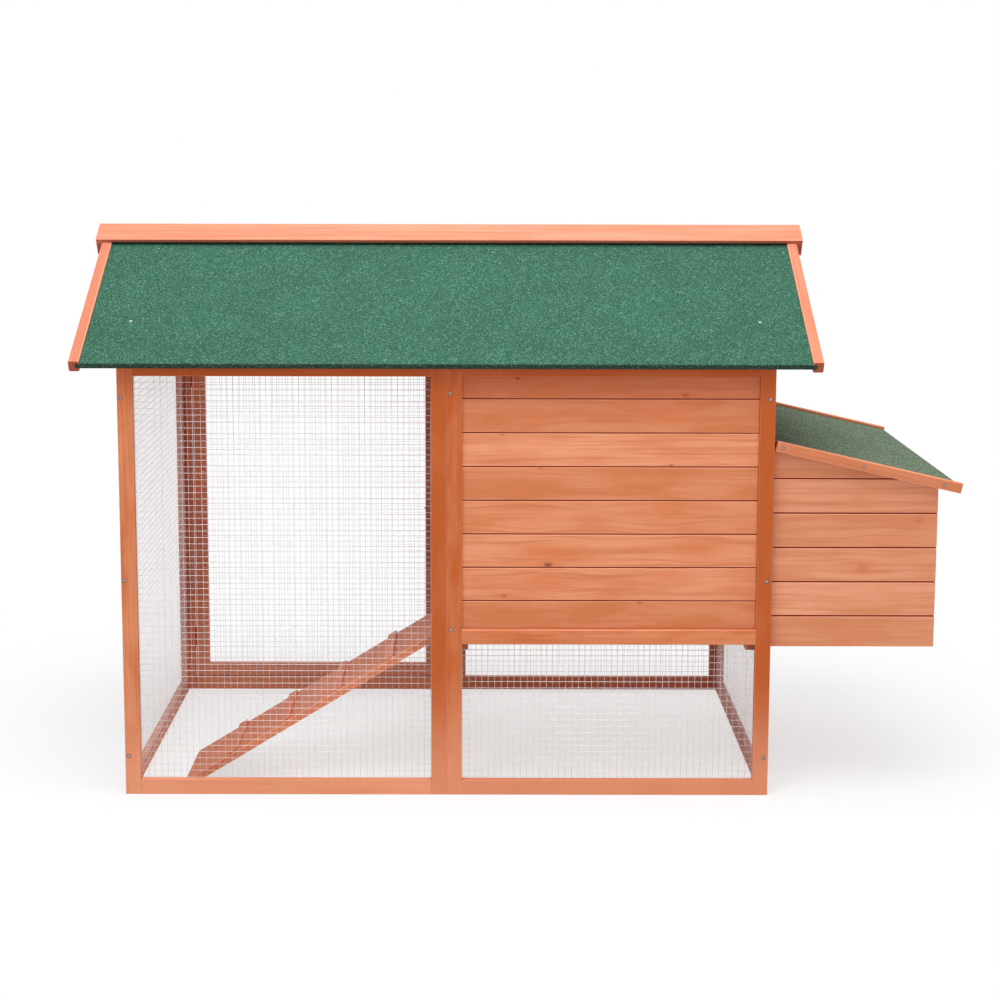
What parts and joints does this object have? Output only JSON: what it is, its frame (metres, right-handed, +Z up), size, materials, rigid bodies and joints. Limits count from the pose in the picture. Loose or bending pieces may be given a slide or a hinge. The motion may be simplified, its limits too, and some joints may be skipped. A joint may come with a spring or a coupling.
{
  "type": "chicken coop",
  "caption": "Wooden chicken coop with a wire-mesh run, a raised boarded house under a gabled felt roof, a nest box with a lifting lid, a ramp and a pull-out tray.",
  "frame": {"origin": "centre of the underside of the box around the whole coop, on the ground", "axes": "+X along the length towards the nest box, +Y from the front to the rear, +Z up"},
  "size_m": [1.7306, 0.81, 1.1074],
  "materials": {
    "stained_fir": "stained reddish brown, planed",
    "pale_fir": "stained light reddish brown, planed",
    "green_felt": "mineral roofing felt over board",
    "zinc_steel": "zinc plated",
    "welded_wire": "galvanised welded wire"
  },
  "bodies": {
    "coop": {"front_run_left_stile": "stained_fir", "front_run_right_stile": "stained_fir", "front_run_bottom_rail": "stained_fir", "front_run_top_rail": "stained_fir", "front_house_left_stile": "stained_fir", "front_house_right_stile": "stained_fir", "front_house_bottom_rail": "stained_fir", "front_house_floor_rail": "stained_fir", "front_house_top_rail": "stained_fir", "rear_run_frame": "stained_fir", "rear_house_frame": "stained_fir", "left_side_frame": "stained_fir", "right_side_frame": "stained_fir", "front_house_boards": "stained_fir", "rear_house_boards": "stained_fir", "right_house_boards": "stained_fir", "partition_boards": "stained_fir", "left_gable_boards": "stained_fir", "right_gable_boards": "stained_fir", "nest_front_wall": "stained_fir", "nest_rear_wall": "stained_fir", "nest_end_wall": "stained_fir", "nest_floor": "stained_fir", "nest_divider": "stained_fir", "left_tray_runner": "stained_fir", "right_tray_runner": "stained_fir", "front_run_mesh": "welded_wire", "front_house_mesh": "welded_wire", "rear_house_mesh": "welded_wire", "left_side_mesh": "welded_wire", "right_side_mesh": "welded_wire", "front_roof_panel": "green_felt", "rear_roof_panel": "green_felt", "front_left_barge_board": "pale_fir", "front_right_barge_board": "pale_fir", "rear_left_barge_board": "pale_fir", "rear_right_barge_board": "pale_fir", "front_ridge_board": "pale_fir", "rear_ridge_board": "pale_fir", "lid_front_hinge_wall_leaf": "zinc_steel", "lid_rear_hinge_wall_leaf": "zinc_steel", "door_lower_hinge_frame_leaf": "zinc_steel", "door_upper_hinge_frame_leaf": "zinc_steel", "door_bolt_keeper": "zinc_steel", "ramp_hinge_wall_leaf": "zinc_steel"},
    "nest_lid": {"nest_lid": "green_felt", "nest_lid_front_trim": "pale_fir", "nest_lid_rear_trim": "pale_fir", "lid_front_hinge_lid_leaf": "zinc_steel", "lid_rear_hinge_lid_leaf": "zinc_steel"},
    "rear_door": {"rear_door_frame": "stained_fir", "rear_door_mesh": "welded_wire", "door_lower_hinge_door_leaf": "zinc_steel", "door_upper_hinge_door_leaf": "zinc_steel", "door_bolt_barrel": "zinc_steel"},
    "door_bolt": {"door_bolt_rod": "zinc_steel"},
    "tray": {"droppings_tray": "stained_fir", "tray_pull": "stained_fir"},
    "ramp": {"ramp": "stained_fir", "ramp_hinge_ramp_leaf": "zinc_steel"}
  },
  "joints": [
    {"name": "nest_lid_hinge", "type": "hinge", "parent": "coop", "child": "nest_lid", "pos_m": [0.50301, 0, 0.7055], "axis": [0, -1, 0], "range_deg": [0, 60]},
    {"name": "rear_door_hinge", "type": "hinge", "parent": "coop", "child": "rear_door", "pos_m": [-0.73604, 0.3783, 0.431], "axis": [0, 0, 1], "range_deg": [0, 110]},
    {"name": "door_bolt_slide", "type": "slide", "parent": "rear_door", "child": "door_bolt", "axis": [1, 0, 0], "range_m": [0, 0.009]},
    {"name": "tray_slide", "type": "slide", "parent": "coop", "child": "tray", "axis": [0, 1, 0], "range_m": [0, 0.56]},
    {"name": "ramp_hinge", "type": "hinge", "parent": "coop", "child": "ramp", "pos_m": [-0.13709, -0.2015, 0.317], "axis": [0, 1, 0], "range_deg": [0, 60]}
  ]
}
